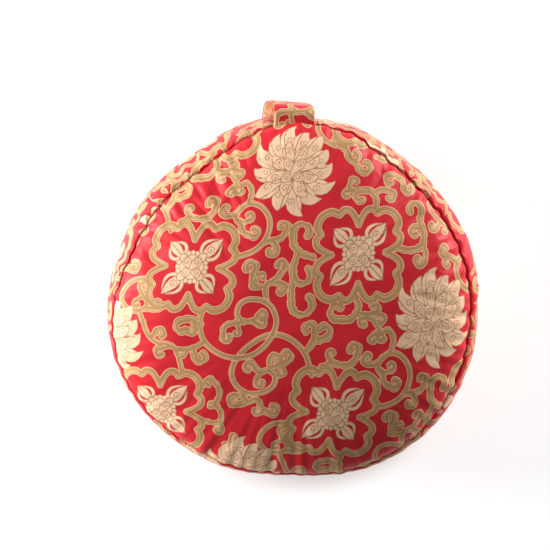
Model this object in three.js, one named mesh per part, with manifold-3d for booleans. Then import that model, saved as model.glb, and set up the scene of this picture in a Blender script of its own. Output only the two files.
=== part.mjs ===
// A round meditation cushion lying on its back, face up, with its carrying loop towards +Y.
// Two round panels and one long side band are sewn together with two seams. The band is cut
// longer than the panels' rims, so it is laid in small knife pleats along both seams, and they
// open out towards the band's middle. The firm loose filling swells the band, crowns the face
// and lets the base settle flat. Millimetres, +Z up, origin at the middle of the flat base.
import * as THREE from "three";
import Module from "manifold-3d";

// Driving dimensions
const CROWN_HEIGHT = 164; // top of the face above the floor
const FACE_SEAM_HEIGHT = 126; // seam between the face and the band
const BASE_SEAM_HEIGHT = 21; // seam between the base and the band
const BASE_SEAM_INSET = 12; // how far the base seam lies inside the band's widest line
const SEAM_SINK = 1.6; // how deep both seams are drawn in
const PLEATS = 60; // knife pleats round each seam
const PLEAT_DEPTH = 2.8; // height of a full pleat's folded edge
const PLEAT_EDGE = 0.75; // where the folded edge lies in each pleat's pitch
const BASE_PLEAT_SHIFT = 0.5; // part of a pitch between the base seam's pleats and the face seam's
const STRAP_WIDTH = 36;
const STRAP_THICK = 2.6; // the brocade folded over a tape
const STRAP_BEARING = 90.5; // where the loop crosses the band, in degrees from +X towards +Y
const STRAP_TURN = -4.5; // the loop's own turn about +Z from square to the band
const STRAP_LEAN = 7; // its lower end is sewn in this much further towards -X
const GAP = 0.3; // between the loop and the body

// The outline as the cushion lies, by bearing in degrees from +X towards +Y: reach is the band's
// widest line from the origin and seam is the face seam, which the loop pulls to a slight peak.
// The rim that the cushion stood on, at 270, stays a little flattened.
const OUTLINE = [
  { bearing: 0, reach: 167, seam: 156.5 },
  { bearing: 20, reach: 165.5, seam: 154 },
  { bearing: 40, reach: 161.5, seam: 150 },
  { bearing: 60, reach: 161, seam: 150 },
  { bearing: 77, reach: 163.5, seam: 154.5 },
  { bearing: 90, reach: 165.5, seam: 158.5 },
  { bearing: 103, reach: 166, seam: 153.5 },
  { bearing: 117, reach: 164, seam: 149.5 },
  { bearing: 137, reach: 162.5, seam: 149.5 },
  { bearing: 157, reach: 164.5, seam: 152.5 },
  { bearing: 177, reach: 168, seam: 158.5 },
  { bearing: 195, reach: 170.5, seam: 162 },
  { bearing: 212, reach: 169, seam: 161 },
  { bearing: 230, reach: 165.5, seam: 156 },
  { bearing: 246, reach: 160.5, seam: 151.5 },
  { bearing: 258, reach: 155, seam: 147 },
  { bearing: 270, reach: 152.5, seam: 145 },
  { bearing: 282, reach: 155.5, seam: 147.5 },
  { bearing: 294, reach: 160.5, seam: 151 },
  { bearing: 311, reach: 166.5, seam: 155.5 },
  { bearing: 329, reach: 169.5, seam: 158.5 },
  { bearing: 345, reach: 168.5, seam: 157.5 },
];

// Rings of the filled body from the base's middle to the crown. share is the part of the seam's
// reach, out the way from the seam to the band's widest line, up the height between the two levels
// of the ring's own panel, pleat the share of PLEAT_DEPTH, and points the ring's count.
const FINE = 4 * PLEATS;
const HALF = FINE / 2;
const COARSE = FINE / 4;
const BASE_RINGS = [
  { share: 0.3, up: 0, points: COARSE },
  { share: 0.56, up: 0, points: COARSE },
  { share: 0.74, up: 0, points: HALF },
  { share: 0.86, up: 0.15, points: HALF },
  { share: 0.945, up: 0.46, points: FINE },
  { share: 0.988, up: 0.8, points: FINE },
];
const BAND_RINGS = [
  { out: 0.34, up: 0.015, pleat: 0.55 },
  { out: 0.62, up: 0.085, pleat: 1 },
  { out: 0.85, up: 0.2, pleat: 0.72 },
  { out: 0.97, up: 0.34, pleat: 0.34 },
  { out: 1, up: 0.48, pleat: 0.1 },
  { out: 0.96, up: 0.64, pleat: 0.34 },
  { out: 0.82, up: 0.8, pleat: 0.72 },
  { out: 0.58, up: 0.92, pleat: 1 },
  { out: 0.31, up: 0.985, pleat: 0.55 },
];
const WIDEST_RING = BAND_RINGS.findIndex(({ out }) => out === 1);
const FACE_RINGS = [
  { share: 0.985, up: 0.13, points: FINE },
  { share: 0.945, up: 0.29, points: FINE },
  { share: 0.87, up: 0.47, points: HALF },
  { share: 0.75, up: 0.66, points: HALF },
  { share: 0.58, up: 0.83, points: COARSE },
  { share: 0.38, up: 0.94, points: COARSE },
  { share: 0.18, up: 0.99, points: COARSE },
];

// Slow waves round the cushion, each with its count, size and starting angle in radians. The
// pleats are laid by hand, so their spacing and depth wander, and the filling lies unevenly.
const SPACING_WANDER = [
  { waves: 5, size: 0.011, start: 1 },
  { waves: 13, size: 0.006, start: 2 },
];
const DEPTH_WANDER = [
  { waves: 4, size: 0.12, start: 0.5 },
  { waves: 17, size: 0.14, start: 2.4 },
];
const SLUMP = [
  { waves: 1, size: 1.6, start: 2.2 },
  { waves: 2, size: 1.1, start: 0.5 },
];

// The loop's middle line across the band: out is from the band's widest line, height from the floor
const STRAP_PATH = [
  { out: -10, height: 126.2 },
  { out: -5, height: 127.2 },
  { out: 1, height: 128.6 },
  { out: 6, height: 128.2 },
  { out: 9.4, height: 124.6 },
  { out: 10.8, height: 118 },
  { out: 11.6, height: 104 },
  { out: 12, height: 80 },
  { out: 11.6, height: 54 },
  { out: 10.2, height: 36 },
  { out: 7.6, height: 26 },
  { out: 3, height: 21 },
  { out: -5, height: 20 },
  { out: -15, height: 20.6 },
];
const STRAP_STEPS = 34;
const STRAP_EDGE = 0.9; // chamfer of the strap's folded edges

function wave(rows, turn) {
  return rows.reduce((sum, { waves, size, start }) => sum + size * Math.sin(waves * turn + start), 0);
}

// A smooth closed curve through one column of the outline
function outlineAt(bearing, column) {
  const count = OUTLINE.length;
  const at = THREE.MathUtils.euclideanModulo(THREE.MathUtils.radToDeg(bearing), 360);
  const start = OUTLINE.findLastIndex((row) => row.bearing <= at);
  const [before, from, to, after] = [-1, 0, 1, 2].map((step) => {
    const row = OUTLINE[(start + step + count) % count];
    return { bearing: row.bearing + 360 * Math.floor((start + step) / count), value: row[column] };
  });
  const span = to.bearing - from.bearing;
  const t = (at - from.bearing) / span;
  const leave = ((to.value - before.value) / (to.bearing - before.bearing)) * span;
  const arrive = ((after.value - from.value) / (after.bearing - from.bearing)) * span;
  const ease = t * t * (3 - 2 * t);
  return THREE.MathUtils.lerp(from.value, to.value, ease) + t * (1 - t) * ((1 - t) * leave - t * arrive);
}

const faceSeam = (bearing) => outlineAt(bearing, "seam");
const baseSeam = (bearing) => outlineAt(bearing, "reach") - BASE_SEAM_INSET;

function onBearing(bearing, reach, height) {
  return new THREE.Vector3(reach * Math.cos(bearing), reach * Math.sin(bearing), height);
}

// A ring's points, with where each lies in its pleat's pitch
function ringTurns(points) {
  return Array.from({ length: points }, (_, k) => {
    const turn = (2 * Math.PI * k) / points;
    return { turn, bearing: turn + wave(SPACING_WANDER, turn), phase: ((k * PLEATS) / points) % 1 };
  });
}

function panelRing({ share, up, points }, seam, level, grow) {
  return ringTurns(points).map(({ turn, bearing }) =>
    onBearing(bearing, (seam(bearing) + grow) * share, level(up, turn)),
  );
}

function seamRing(seam, height, grow) {
  return ringTurns(FINE).map(({ bearing }) => onBearing(bearing, seam(bearing) - SEAM_SINK + grow, height));
}

// A knife pleat climbs to its folded edge and drops back behind it.
const pleatRise = (phase) => (phase <= PLEAT_EDGE ? phase / PLEAT_EDGE : 0) - 0.5;

function bandRing({ out, up, pleat }, index, grow) {
  const [seam, shift] = index < WIDEST_RING ? [baseSeam, BASE_PLEAT_SHIFT] : [faceSeam, 0];
  return ringTurns(FINE).map(({ turn, bearing, phase }) => {
    const reach = THREE.MathUtils.lerp(seam(bearing), outlineAt(bearing, "reach"), out);
    const rise = pleatRise((phase + shift) % 1);
    const fold = PLEAT_DEPTH * pleat * (1 + wave(DEPTH_WANDER, turn)) * rise;
    const height = THREE.MathUtils.lerp(BASE_SEAM_HEIGHT, FACE_SEAM_HEIGHT, up);
    return onBearing(bearing, reach + fold + grow, height);
  });
}

// Skins a stack of rings between two end points, with the faces pointing out
function skin(bottom, rings, top) {
  const places = [bottom, ...rings.flat(), top];
  const faces = rings[0].map((_, k) => [0, 1 + ((k + 1) % rings[0].length), 1 + k]);
  let first = 1;
  for (const [low, high] of rings.slice(1).map((ring, r) => [rings[r].length, ring.length])) {
    const steps = Math.max(low, high);
    const onRing = (start, count, step) => start + (Math.floor((step * count) / steps) % count);
    for (let k = 0; k < steps; k++) {
      const [a, b] = [k, k + 1].map((step) => onRing(first, low, step));
      const [c, d] = [k, k + 1].map((step) => onRing(first + low, high, step));
      if (a !== b) faces.push([a, b, d]);
      if (c !== d) faces.push([a, d, c]);
    }
    first += low;
  }
  const last = rings.at(-1).length;
  for (let k = 0; k < last; k++) faces.push([first + k, first + ((k + 1) % last), places.length - 1]);
  const geometry = new THREE.BufferGeometry().setFromPoints(places);
  geometry.setIndex(faces.flat());
  return geometry;
}

// The filled body. grow makes it larger all round, to cut back what lies against it.
function bodyGeometry(grow = 0) {
  const baseLevel = (up) => BASE_SEAM_HEIGHT * up - grow;
  const faceLevel = (up, turn) =>
    THREE.MathUtils.lerp(FACE_SEAM_HEIGHT, CROWN_HEIGHT, up) + up * (1 - up) * wave(SLUMP, turn) + grow;
  const rings = [
    ...BASE_RINGS.map((row) => panelRing(row, baseSeam, baseLevel, grow)),
    seamRing(baseSeam, BASE_SEAM_HEIGHT, grow),
    ...BAND_RINGS.map((row, index) => bandRing(row, index, grow)),
    seamRing(faceSeam, FACE_SEAM_HEIGHT, grow),
    ...FACE_RINGS.map((row) => panelRing(row, faceSeam, faceLevel, grow)),
  ];
  return skin(new THREE.Vector3(0, 0, -grow), rings, new THREE.Vector3(0, 0, CROWN_HEIGHT + grow));
}

// The strap swept along its middle line, running on into the body at both seams
function strapGeometry() {
  const middle = THREE.MathUtils.degToRad(STRAP_BEARING);
  const foot = onBearing(middle, outlineAt(middle, "reach"), 0);
  const outward = onBearing(middle + THREE.MathUtils.degToRad(STRAP_TURN), 1, 0);
  const across = new THREE.Vector3(outward.y, -outward.x, 0);
  const path = new THREE.CatmullRomCurve3(
    STRAP_PATH.map(({ out, height }) => foot.clone().addScaledVector(outward, out).setZ(height)),
  );
  const [side, face] = [STRAP_WIDTH / 2, STRAP_THICK / 2];
  const corner = [
    [side - STRAP_EDGE, face],
    [side, face - STRAP_EDGE],
  ];
  const section = [
    ...corner.map(([s, f]) => [s, -f]),
    ...corner.toReversed(),
    ...corner.map(([s, f]) => [-s, f]),
    ...corner.toReversed().map(([s, f]) => [-s, -f]),
  ];
  const stations = Array.from({ length: STRAP_STEPS + 1 }, (_, i) => {
    const t = i / STRAP_STEPS;
    const normal = path.getTangentAt(t).cross(across);
    const centre = path.getPointAt(t).addScaledVector(across, -STRAP_LEAN * t);
    const place = ([s, f]) => centre.clone().addScaledVector(across, s).addScaledVector(normal, f);
    return { centre, ring: section.map(place) };
  });
  return skin(stations[0].centre, stations.map(({ ring }) => ring), stations.at(-1).centre);
}

const wasm = await Module();
wasm.setup();

function toSolid(geometry) {
  const vertProperties = geometry.getAttribute("position").array;
  const triVerts = new Uint32Array(geometry.index.array);
  return new wasm.Manifold(new wasm.Mesh({ numProp: 3, vertProperties, triVerts }));
}

function toGeometry(solid) {
  const { vertProperties, triVerts } = solid.getMesh();
  return new THREE.BufferGeometry()
    .setAttribute("position", new THREE.BufferAttribute(vertProperties, 3))
    .setIndex(new THREE.BufferAttribute(triVerts, 1));
}

const group = new THREE.Group();
function addPiece(name, geometry, look) {
  geometry.computeVertexNormals();
  const piece = new THREE.Mesh(geometry, new THREE.MeshStandardMaterial(look));
  piece.name = name;
  group.add(piece);
}

addPiece("cushion", bodyGeometry(), { color: 0xb81426, roughness: 0.42, metalness: 0 });
// The loop stops short of the body at both seams, where its stitched ends run in.
const loop = toSolid(strapGeometry()).subtract(toSolid(bodyGeometry(GAP)));
addPiece("handle", toGeometry(loop), { color: 0xb8232c, roughness: 0.5, metalness: 0 });

export default group;
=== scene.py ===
"""The looks of a round meditation cushion in red brocade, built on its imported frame. Metres, +Z up."""

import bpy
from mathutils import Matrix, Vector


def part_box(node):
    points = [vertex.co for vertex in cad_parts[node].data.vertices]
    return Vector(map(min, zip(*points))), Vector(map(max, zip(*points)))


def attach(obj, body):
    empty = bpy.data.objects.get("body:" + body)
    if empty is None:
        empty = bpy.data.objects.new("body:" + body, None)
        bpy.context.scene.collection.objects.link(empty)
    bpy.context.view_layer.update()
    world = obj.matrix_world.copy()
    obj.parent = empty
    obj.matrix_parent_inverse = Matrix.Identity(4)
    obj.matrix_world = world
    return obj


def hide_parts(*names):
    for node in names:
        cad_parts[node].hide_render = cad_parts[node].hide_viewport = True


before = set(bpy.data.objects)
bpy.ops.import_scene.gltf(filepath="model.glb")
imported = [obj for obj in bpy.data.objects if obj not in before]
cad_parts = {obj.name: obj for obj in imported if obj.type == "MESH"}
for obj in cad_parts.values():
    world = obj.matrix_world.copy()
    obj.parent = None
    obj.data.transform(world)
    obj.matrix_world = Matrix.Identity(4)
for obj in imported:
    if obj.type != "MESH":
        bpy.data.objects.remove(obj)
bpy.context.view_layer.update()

from collections import namedtuple
from itertools import pairwise

import bpy
import numpy as np
from mathutils import Matrix, Vector

# The cover: one face panel, one long side band and one base panel of satin brocade, sewn together
# with two seams over a firm loose filling. The band is gathered into hand-laid knife pleats along
# both seams. First comes the cloth's own figure, then the filled shape that the cloth is laid over.

# The repeat of the brocade, charted in squares of the weave. x runs to the right and y
# down the chart, from the middle of the first cross. Two steps carry the figure onto itself.
SQUARE = 0.00087  # metres of cloth
REPEAT_STEPS = np.array([(143, 151), (-386, 302)], float)
HALF_STEP = np.array([-193, 151])  # some of the vines come again after this
# Middle of each cross, and degrees that it is turned
CROSSES = [((0, 0), 7), ((168, 0), 1), ((-193, 151), 7), ((-34, 149), 1)]
LOTUSES = [(103, -87), (-93, 71)]
LOTUS_SHAPE = np.array([0.93, 1.0])  # a little taller than wide
CELL = 0.45  # raster of the drawn repeat, in squares
FAR = 9.0  # distances are kept up to here

# A vine runs through its path and, where curl is given, ends in a hook of that radius. hand is 1
# for a hook that winds clockwise on the chart and -1 for the other way.
Vine = namedtuple("Vine", "path curl hand", defaults=(0, 1))
RING_HALF = 2.9  # half the width of a plain vine
VINE_HALF = 3.3  # and of one that ends in a hook, which swells to
HOOK_HALF = 4.1
HOOK_TURN = 222  # degrees that a hook winds
HOOK_CLOSES = 0.3  # share of its radius that it loses on the way
HOOK_STEPS = 16
THIN_HOOK = 0.16  # share of its fullness that a hook of no radius would have
FULLER_BY_RADIUS = 0.135  # share that each square of radius adds
VINE_LEAST = 0.6  # share of its width that a vine with the thinnest hook keeps
WAIST_DEPTH = 0.3  # share of its width that a hook loses at its waist
WAIST_SPAN = (0.077, 0.846)  # where along the hook its waist starts and ends
LOBE_PITCH = 8.0  # the cloud-like lobes along a hooked vine
LOBE_SIZE = 0.45
SCROLL_RIGHT = [
    Vine([(43, -6), (61, -10), (74, -20), (79, -37), (72, -52), (59, -58), (48, -52), (45, -44),
          (50, -37)]),
    Vine([(49, -41), (52, -30), (60, -25)], 5, -1),
    Vine([(51, -39), (59, -41)], 4, -1),
    Vine([(50, -54), (43, -48), (35, -48)], 5, 1),
    Vine([(73, -18), (82, -19), (91, -21), (96, -28)], 5, -1),
    Vine([(81, -19), (85, -12)], 5, 1),
    Vine([(58, -58), (61, -70), (56, -79), (48, -77)], 4.5, -1),
    Vine([(49, -76), (43, -77), (38, -74)], 3.5, -1),
    Vine([(47, -78), (43, -86), (38, -91), (31, -92)], 4.5, -1),
]
CLUSTER = [
    Vine([(75, 38), (75, 24), (85, 18), (93, 9)], 5, -1),
    Vine([(80, 21), (90, 23)], 5, 1),
    Vine([(75, 24), (64, 25)], 4, 1),
    Vine([(68, 24), (61, 17), (64, 8)], 6, -1),
    Vine([(62, 14), (70, 12)], 3, 1),
]
CHAIN = [
    Vine([(122, 0), (111, -4), (103, -12), (102, -22)], 9.5, 1),
    Vine([(106, -3), (102, 8), (102, 14)], 10, -1),
    Vine([(102, 18), (100, 32), (100, 41)], 12, -1),
]
SPRIG_UNDER = [
    Vine([(165, 40), (168, 50), (160, 60), (147, 60)], 7.5, 1),
    Vine([(167, 55), (176, 57), (184, 56)], 5, -1),
    Vine([(180, 57), (191, 58)], 4, 1),
]
FIRST_RING = [
    Vine([(10, 46), (8, 60), (13, 76), (27, 88), (44, 93), (62, 90), (77, 78), (85, 61), (81, 46), (71, 38),
          (57, 36), (48, 41), (46, 51), (52, 58)]),
    Vine([(53, 57), (42, 58), (33, 61), (31, 71)], 4.5, -1),
    Vine([(46, 60), (48, 67)], 3, 1),
    Vine([(52, 58), (63, 56), (68, 50)], 4, 1),
    Vine([(60, 57), (68, 62)], 4, -1),
]
SECOND_RING = [
    Vine([(121, 112), (114, 91), (100, 77), (82, 71), (64, 77), (47, 91), (40, 107), (45, 121), (58, 129),
          (73, 127), (82, 121), (84, 112), (77, 105)]),
    Vine([(79, 106), (79, 97)], 5.5, 1),
    Vine([(79, 104), (90, 101), (97, 97)], 5, -1),
    Vine([(90, 101), (93, 107)], 3.5, 1),
    Vine([(79, 105), (68, 107), (62, 100)], 5, -1),
    Vine([(70, 107), (65, 115)], 4.5, -1),
]
SPRIGS_LEFT = [
    Vine([(9, 58), (0, 52), (-10, 53)], 6.5, -1),
    Vine([(0, 53), (3, 62)], 4.5, 1),
    Vine([(12, 76), (3, 81), (-6, 83), (-15, 83)]),
    Vine([(1, 82), (3, 91)], 6, -1),
    Vine([(-4, 83), (-8, 88)], 4.5, 1),
]
SPRIG_ON_FIRST = [
    Vine([(-12, -47), (-2, -50), (7, -48), (15, -48), (22, -53), (25, -60)], 5.5, -1),
    Vine([(1, -50), (-5, -56)], 4, 1),
]
FORK = [
    Vine([(114, 90), (123, 79), (124, 69)], 6, -1),
    Vine([(121, 81), (134, 77)], 6.5, -1),
]
SPRIG_BELOW = [
    Vine([(50, 129), (54, 138), (44, 140)], 5.5, 1),
    Vine([(55, 138), (66, 135), (70, 144)], 4.5, 1),
    Vine([(69, 143), (78, 149)], 5.5, -1),
]
CHAIN_LOWER = [
    Vine([(8, 157), (19, 160), (28, 159), (29, 148), (24, 140), (28, 130), (26, 121), (21, 115)], 4.5, -1),
    Vine([(26, 142), (21, 139)], 3, -1),
    Vine([(28, 158), (30, 167)], 4, 1),
    Vine([(32, 184), (38, 181), (39, 175)], 3, 1),
]
SPRIG_ON_SECOND = [
    Vine([(183, -45), (180, -58), (177, -68), (168, -74), (159, -75), (150, -81), (145, -90), (143, -98)]),
    Vine([(172, -72), (160, -70)], 5, -1),
    Vine([(152, -80), (156, -87)], 5, 1),
]
SCROLL_LEFT = [
    Vine([(-44, 8), (-60, 9), (-71, 17), (-75, 29), (-67, 40), (-55, 42), (-46, 36), (-47, 27)]),
    Vine([(-47, 30), (-53, 20)], 5, 1),
    Vine([(-52, 27), (-59, 31)], 3.5, -1),
    Vine([(-55, 42), (-51, 53)]),
    Vine([(-48, 40), (-37, 41)], 5, -1),
]
CHAIN_BY_SECOND = [
    Vine([(207, -3), (222, 0), (234, -4), (237, -15), (234, -27), (236, -37)], 8, -1),
    Vine([(236, -20), (229, -22)], 5, -1),
    Vine([(236, -5), (238, 5), (236, 11)], 5, 1),
    Vine([(281, 8), (274, 13), (273, 23), (279, 34), (290, 41)]),
    Vine([(276, 14), (267, 8), (260, 7)], 5, 1),
    Vine([(265, 7), (260, 11)], 3.5, -1),
]
FORK_ON_SECOND = [
    Vine([(187, -43), (187, -53), (182, -61), (172, -62)], 6, -1),
    Vine([(166, -62), (160, -66), (161, -72)], 4, 1),
    Vine([(166, -62), (158, -63)], 4, -1),
    Vine([(184, -58), (194, -62), (203, -60)], 5, 1),
]
CLOUDS = [
    Vine([(214, -74), (206, -77)], 5.5, -1),
    Vine([(210, -76), (217, -71), (218, -63)], 5.5, -1),
    Vine([(146, -118), (149, -112), (157, -106), (160, -98)], 6, -1),
    Vine([(166, -92), (171, -84)], 6.5, -1),
    Vine([(190, -97), (197, -93)], 3.5, -1),
    Vine([(222, -94), (228, -86), (236, -81)], 3, 1),
    Vine([(246, -46), (249, -36), (257, -27), (264, -21)], 3.5, 1),
    Vine([(257, -27), (252, -20)], 4.5, 1),
]
MOTIFS = [
    SCROLL_RIGHT, CLUSTER, CHAIN, SPRIG_UNDER, SECOND_RING, FIRST_RING, SPRIGS_LEFT, SPRIG_ON_FIRST, FORK,
    SPRIG_BELOW, SCROLL_LEFT, CHAIN_BY_SECOND, FORK_ON_SECOND, CLOUDS, CHAIN_LOWER,
]
MOTIFS_AGAIN = [SCROLL_RIGHT, CLUSTER, CHAIN, SPRIG_UNDER, SPRIG_ON_SECOND]
# The cross's frame has four lobes of three rounds each, which meet in sharp points. For each round:
# distance from the cross's middle, and degrees from the lobe's own line
FLANK_ROUND = [(27.5, -45), (34.5, -40), (42.5, -34), (45.6, -26), (43, -18)]
CORNER_ROUND = [(43, -18), (49.5, -12.5), (52.5, -4), (52.5, 4), (49.5, 12.5), (43, 18)]
LOBE_WIDTHS = [(27, 3.4), (36, 3.3), (43, 3.6), (50, 4.1)]  # half the frame's width by that distance


def smooth(points, steps=7):
    """A smooth curve through given points, with that many steps between two of them"""
    points = np.asarray(points, float)
    ring = np.vstack([2 * points[0] - points[1], points, 2 * points[-1] - points[-2]])
    t = np.linspace(0, 1, steps, endpoint=False)[:, None]
    spans = [
        0.5 * (2 * b + (c - a) * t + (2 * a - 5 * b + 4 * c - d) * t**2 + (3 * b - a - 3 * c + d) * t**3)
        for a, b, c, d in zip(ring, ring[1:], ring[2:], ring[3:])
    ]
    return np.vstack(spans + [ring[-2:-1]])


class Chart:
    """Distances to the drawn figures over one repeat of the weave, in squares, negative inside"""

    def __init__(self):
        self.counts = (np.hypot(*REPEAT_STEPS.T) / CELL).astype(int)
        self.to_repeat = np.linalg.inv(REPEAT_STEPS)
        self.layers = {
            "gold": np.full(self.counts, FAR),
            "offset": np.full(self.counts, FAR),
            "cream": np.full(self.counts, FAR),
            "thread": np.full(self.counts, FAR),
            "first_side": np.ones(self.counts),
            "second_side": np.ones(self.counts),
            "eye_x": np.full(self.counts, FAR),
            "eye_y": np.full(self.counts, FAR),
        }

    def around(self, line, reach):
        """The cells near a line: their places on the chart and in the repeat"""
        corners = np.asarray(line) @ self.to_repeat
        spread = np.abs(self.to_repeat).sum(axis=0) * reach
        low = np.floor((corners.min(axis=0) - spread) * self.counts).astype(int)
        high = np.ceil((corners.max(axis=0) + spread) * self.counts).astype(int)
        cells = np.stack(np.meshgrid(np.arange(low[0], high[0]), np.arange(low[1], high[1])), axis=-1)
        cells = cells.reshape(-1, 2)
        return (cells / self.counts) @ REPEAT_STEPS, tuple((cells % self.counts).T)

    def measure(self, line, half):
        """Distance to a tapering stroke and offset from its middle, for the cells near it"""
        places, cells = self.around(line, FAR + np.max(half))
        nearest = np.full(len(places), np.inf)
        offset = np.zeros(len(places))
        for (start, half_start), (end, half_end) in pairwise(zip(line, half)):
            along = end - start
            length = np.hypot(*along)
            if length == 0:
                continue
            rel = places - start
            t = np.clip(rel @ along / length**2, 0, 1)
            off = rel - t[:, None] * along
            distance = np.hypot(off[:, 0], off[:, 1]) - (half_start + (half_end - half_start) * t)
            closer = distance < nearest
            nearest[closer] = distance[closer]
            offset[closer] = ((along[0] * rel[:, 1] - along[1] * rel[:, 0]) / length)[closer]
        return places, cells, nearest, offset

    def stroke(self, line, half, over=False):
        """Adds a gold stroke, which joins the strokes that it meets or passes over them"""
        _, cells, distance, offset = self.measure(line, half)
        gold = self.layers["gold"]
        before = gold[cells]
        if over:
            before = np.maximum(before, -np.abs(distance))
        closer = distance < before
        gold[cells] = np.where(closer, distance, before)
        self.layers["offset"][cells] = np.where(closer, offset, self.layers["offset"][cells])

    def petal(self, line, half, signs, vein=None, eye=None):
        """Adds a cream petal in front of the others, with a woven thread round it. Its two signs differ
        from its neighbours', so that the distance to the thread passes through 0 where they meet.
        vein is the place and half width of its vein beside the middle line, and eye the middle of
        its spiral."""
        places, cells, distance, offset = self.measure(line, half)
        inside = distance < 0
        own = -distance
        first_sign = np.full(len(places), signs[0])
        if vein:
            beside = np.abs(offset - vein[0]) - vein[1]
            own = np.minimum(own, np.abs(beside))
            first_sign = np.where(beside < 0, -first_sign, first_sign)
        thread = np.minimum(self.layers["thread"][cells], np.abs(distance))
        eye_offset = (places - eye).T if eye is not None else [np.full(len(places), FAR)] * 2
        names = ("thread", "first_side", "second_side", "eye_x", "eye_y")
        for name, value in zip(names, (own, first_sign, signs[1], *eye_offset)):
            outside = thread if name == "thread" else self.layers[name][cells]
            self.layers[name][cells] = np.where(inside, value, outside)
        self.layers["cream"][cells] = np.minimum(self.layers["cream"][cells], distance)

    def sample(self, places):
        """The layers at places on the chart, interpolated between cells"""
        cell = places @ self.to_repeat * self.counts
        low = np.floor(cell).astype(int)
        part = cell - low
        layers = dict(self.layers)
        thread = layers.pop("thread")
        for name in ("first", "second"):
            layers[name] = layers.pop(name + "_side") * thread
        found = {}
        for name, layer in layers.items():
            total = 0.0
            for corner in ((0, 0), (0, 1), (1, 0), (1, 1)):
                weight = np.prod(np.abs(1 - np.array(corner) - part), axis=1)
                spot = (low + corner) % self.counts
                total = total + weight * layer[spot[:, 0], spot[:, 1]]
            found[name] = total
        return found


def hook(start, heading, radius, hand):
    """The points of a comma-shaped hook that winds in from start"""
    turn = np.linspace(0, 1, HOOK_STEPS + 1)
    angle = heading + hand * np.radians(HOOK_TURN) * turn
    step = radius * (1 - HOOK_CLOSES * turn) * np.radians(HOOK_TURN) / HOOK_STEPS
    moves = np.column_stack([np.cos(angle), np.sin(angle)]) * step[:, None]
    return start + np.cumsum(moves, axis=0)


def draw_vine(chart, vine, step=(0, 0), over=False):
    line = smooth(np.add(vine.path, step))
    half = np.full(len(line), RING_HALF)
    if vine.curl:
        ahead = line[-1] - line[-2]
        tail = hook(line[-1], np.arctan2(ahead[1], ahead[0]), vine.curl, vine.hand)
        fullness = min(1.0, THIN_HOOK + FULLER_BY_RADIUS * vine.curl)
        waist = np.interp(np.linspace(0, 1, len(tail)), WAIST_SPAN, (0, np.pi))
        tail_half = fullness * HOOK_HALF * (1 - WAIST_DEPTH * np.sin(waist) ** 2)
        foot_half = VINE_HALF * (VINE_LEAST + (1 - VINE_LEAST) * fullness)
        half = np.linspace(foot_half, tail_half[0], len(line))
        line = np.vstack([line, tail])
        half = np.concatenate([half, tail_half])
        run = np.concatenate([[0], np.cumsum(np.hypot(*np.diff(line, axis=0).T))])
        half = half + LOBE_SIZE * fullness * np.cos(2 * np.pi * run / LOBE_PITCH)
    chart.stroke(line, half, over)


def draw_frame(chart, middle, turn):
    other_flank = [(far, -aside) for far, aside in FLANK_ROUND[::-1]]
    for quarter in range(4):
        for part in (FLANK_ROUND, CORNER_ROUND, other_flank):
            distance, degrees = np.array(part, float).T
            angle = np.radians(45 + turn + 90 * quarter + degrees)
            line = smooth(np.column_stack([np.cos(angle), np.sin(angle)]) * distance[:, None])
            half = np.interp(np.hypot(*line.T), *zip(*LOBE_WIDTHS))
            chart.stroke(line + middle, half)


PETAL_POINTS = 12
PETAL_FOOT = 0.55  # share of its greatest width that a petal has at its foot
PETAL_SHOULDER = 0.8  # and a third of the way from the widest place to the tip
PETAL_SWEEP = 4  # the larger, the nearer to its tip a petal bends


def petal_line(middle, angle, inner, outer, bend=0.0):
    t = np.linspace(0, 1, PETAL_POINTS)
    far = inner + (outer - inner) * t
    turn = angle + bend * t**PETAL_SWEEP
    return middle + np.column_stack([far * np.cos(turn), far * np.sin(turn)])


def petal_half(wide, fullest, tip=0.15):
    """Half widths of a petal that is widest at that part of its length and narrows to its tip"""
    known_at = [0, fullest, (1 + 2 * fullest) / 3, 1]
    known = [PETAL_FOOT * wide, wide, PETAL_SHOULDER * wide, tip]
    return np.interp(np.linspace(0, 1, PETAL_POINTS), known_at, known)


# The lotus's rings of petals from the back: how many, their inner and outer reach, half width, where
# along them it is fullest, half width of the tip, first bearing and sweep of the tips in radians,
# place and half width of the vein, and the spiral's eye: which point of the petal's middle line, and
# how many half widths aside of it
LOTUS_RINGS = [
    (13, 12, 48, 8.0, 0.62, 0.3, 0.16, 0.36, (-3.6, 0.25), (6, 0.34)),
    (8, 4, 28, 6.2, 0.7, 2.6, 0.5, 0.16, (-3.0, 0.2), (8, 0)),
    (4, 0, 13, 5.2, 0.7, 3.4, 0.9, 0.1, None, (8, 0)),
]
LOTUS_SHORTER = 0.9  # every other petal reaches only so far


def draw_lotus(chart, middle):
    for ring, (count, inner, outer, wide, fullest, tip, first, sweep, vein, eye_at) in enumerate(LOTUS_RINGS):
        for k in range(count):
            angle = first + 2 * np.pi * k / count
            bend = -sweep * np.sin(angle + np.pi / 4)  # all the tips lean up and to the right
            line = petal_line(middle, angle, inner, outer * (1 if k % 2 else LOTUS_SHORTER), bend)
            aside = np.array([-np.sin(angle), np.cos(angle)])
            eye = line[eye_at[0]] + aside * wide * eye_at[1]
            signs = (1 if k % 2 else -1, 1 if ring % 2 else -1)
            line = middle + (line - middle) * LOTUS_SHAPE
            eye = middle + (eye - middle) * LOTUS_SHAPE
            chart.petal(line, petal_half(wide, fullest, tip), signs, vein, eye)


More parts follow.
